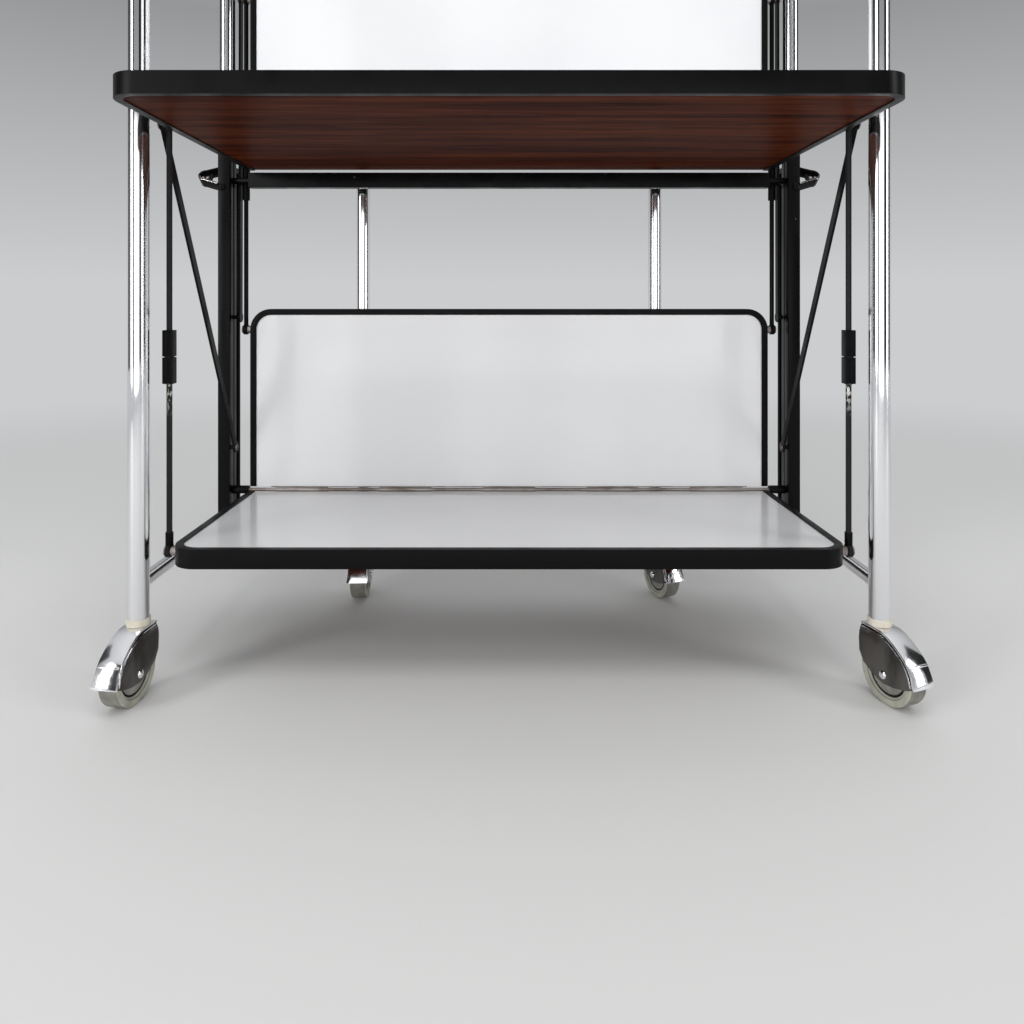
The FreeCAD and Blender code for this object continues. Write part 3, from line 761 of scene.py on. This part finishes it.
# Collars of cream nylon, plugged into the leg ends as the casters' bearings.
# They are turned: a flange a little wider than the tube, with a soft round edge.
cream = moulded("cream_collar", (0.62, 0.57, 0.46), (0.78, 0.74, 0.64))
COLLAR_R = 0.0099
COLLAR_EDGE = 0.0012
collar_body = {"front_collars": "frame", "rear_left_collar": "rear_gate_left",
               "rear_right_collar": "rear_gate_right"}
stems = [hood_at(corner).translation for corner in CORNERS]
for node, body in collar_body.items():
    collar = eased(node, f"{node}_turned", cream, COLLAR_EDGE)
    for vertex in collar.data.vertices:
        stem = min(stems, key=lambda spot: (spot - vertex.co).xy.length)
        out = (vertex.co - stem).xy
        if out.length > COLLAR_R:
            vertex.co.xy = stem.xy + out * (COLLAR_R / out.length)
    stands_for(collar, body, node)


# Pieces of the frame that still show: tubes, rods, boards, laminates and fittings.
# Their shapes stay, and only their round sides are shaded smoothly.
CAD_SMOOTH = 30
for piece in nodes.values():
    if piece.visible_get():
        smoothed(piece, CAD_SMOOTH)


# Floor: one plain pale sheet under the trolley.
# Some way out it fades into the grey of the backdrop, so no edge shows.
FLOOR_SIZE = 12.0
FADE_FROM, FADE_TO = 0.7, 2.6
HORIZON_GREY = (0.60, 0.61, 0.62, 1)
bpy.ops.object.select_all(action="DESELECT")
bpy.ops.mesh.primitive_plane_add(size=FLOOR_SIZE, location=(0, 0, 0))
floor = bpy.context.object
floor.name = "studio_floor"
floor_paint, floor_shader = finish("pale_floor", (0.74, 0.74, 0.73), 0.7)
floor.data.materials.append(floor_paint)
tree = floor_paint.node_tree
place = tree.nodes.new("ShaderNodeTexCoord")
reach = tree.nodes.new("ShaderNodeVectorMath")
reach.operation = "LENGTH"
fade = tree.nodes.new("ShaderNodeMapRange")
fade.interpolation_type = "SMOOTHSTEP"
fade.inputs["From Min"].default_value = FADE_FROM
fade.inputs["From Max"].default_value = FADE_TO
glow = tree.nodes.new("ShaderNodeEmission")
glow.inputs["Color"].default_value = HORIZON_GREY
join = tree.nodes.new("ShaderNodeMixShader")
tree.links.new(place.outputs["Object"], reach.inputs[0])
tree.links.new(reach.outputs["Value"], fade.inputs["Value"])
tree.links.new(fade.outputs["Result"], join.inputs["Fac"])
tree.links.new(floor_shader.outputs["BSDF"], join.inputs[1])
tree.links.new(glow.outputs["Emission"], join.inputs[2])
tree.links.new(join.outputs["Shader"], tree.nodes["Material Output"].inputs["Surface"])


# Studio light: a grey backdrop, paler overhead, and four soft boxes.
# Black cards beside and behind the camera give the chrome its dark streaks.
# They are hidden from camera rays, so they don't stand in the other views.
CARD_AWAY = 4.0
CARD_HEIGHT = 4.0
CARDS = {"front": (36, 1.55), "side": (84.5, 1.77)}
SKY_GREY = (0.30, 0.305, 0.31, 1)
ZENITH_GREY = (0.80, 0.81, 0.82, 1)
HORIZON_AT, SKY_AT, ZENITH_AT = 0.03, 0.35, 0.9
world = bpy.data.worlds.new("studio")
bpy.context.scene.world = world
world.use_nodes = True
tree = world.node_tree
aim = tree.nodes.new("ShaderNodeTexCoord")
split = tree.nodes.new("ShaderNodeSeparateXYZ")
sky = tree.nodes.new("ShaderNodeValToRGB")
sky.color_ramp.elements[0].position = HORIZON_AT
sky.color_ramp.elements[0].color = HORIZON_GREY
sky.color_ramp.elements[1].position = ZENITH_AT
sky.color_ramp.elements[1].color = ZENITH_GREY
sky.color_ramp.elements.new(SKY_AT).color = SKY_GREY
tree.links.new(aim.outputs["Generated"], split.inputs["Vector"])
tree.links.new(split.outputs["Z"], sky.inputs["Fac"])
tree.links.new(sky.outputs["Color"], tree.nodes["Background"].inputs["Color"])
tree.nodes["Background"].inputs["Strength"].default_value = 1.0


def black_card(name, bearing, width):
    turn = Matrix.Rotation(radians(bearing), 4, "Z")
    bpy.ops.object.select_all(action="DESELECT")
    bpy.ops.mesh.primitive_plane_add(size=1, location=turn @ Vector((0, -CARD_AWAY, CARD_HEIGHT / 2)),
                                     rotation=(pi / 2, 0, radians(bearing)))
    card = bpy.context.object
    card.name = name
    card.scale = (width, CARD_HEIGHT, 1)
    card.data.materials.append(card_paint)
    card.visible_camera = False


card_paint = finish("card_black", (0.02, 0.02, 0.02), 0.9)[0]
for side, sign in SIDES.items():
    for place, (bearing, width) in CARDS.items():
        black_card(f"{place}_card_{side}", sign * bearing, width)


def soft_box(name, place, turn, width, height, watts):
    bpy.ops.object.light_add(type="AREA", location=place, rotation=[radians(a) for a in turn])
    lamp = bpy.context.object
    lamp.name = name
    lamp.data.shape = "RECTANGLE"
    lamp.data.size = width
    lamp.data.size_y = height
    lamp.data.energy = watts


soft_box("left_box", (-1.5, -1.3, 0.8), (84, 0, -48), 0.5, 1.4, 15)
soft_box("right_box", (1.7, -0.9, 0.8), (84, 0, 62), 0.4, 1.4, 9)
soft_box("top_box", (0.0, -0.9, 2.2), (22, 0, 0), 1.4, 0.9, 12)
soft_box("low_box", (0.0, -2.0, 0.5), (87, 0, 0), 2.0, 0.9, 7.5)


# Camera at the photograph's place, level, with the horizon high in the picture.
# So the lens is shifted down and a little aside; the pixels below are the photograph's.
CAMERA_BACK = 0.849
CAMERA_HEIGHT = 0.342
FOCAL_PIXELS = 733
PICTURE = 1024
SENSOR = 36.0
HORIZON = 306
MIDDLE = 509
bpy.ops.object.camera_add(location=(0, HINGE_PLANE - CAMERA_BACK, CAMERA_HEIGHT),
                          rotation=(pi / 2, 0, 0))
camera = bpy.context.object
camera.data.sensor_width = SENSOR
camera.data.lens = SENSOR * FOCAL_PIXELS / PICTURE
camera.data.shift_x = (PICTURE / 2 - MIDDLE) / PICTURE
camera.data.shift_y = (HORIZON - PICTURE / 2) / PICTURE
camera.data.clip_start = 0.02
bpy.context.scene.camera = camera
bpy.context.scene.view_settings.view_transform = "Standard"
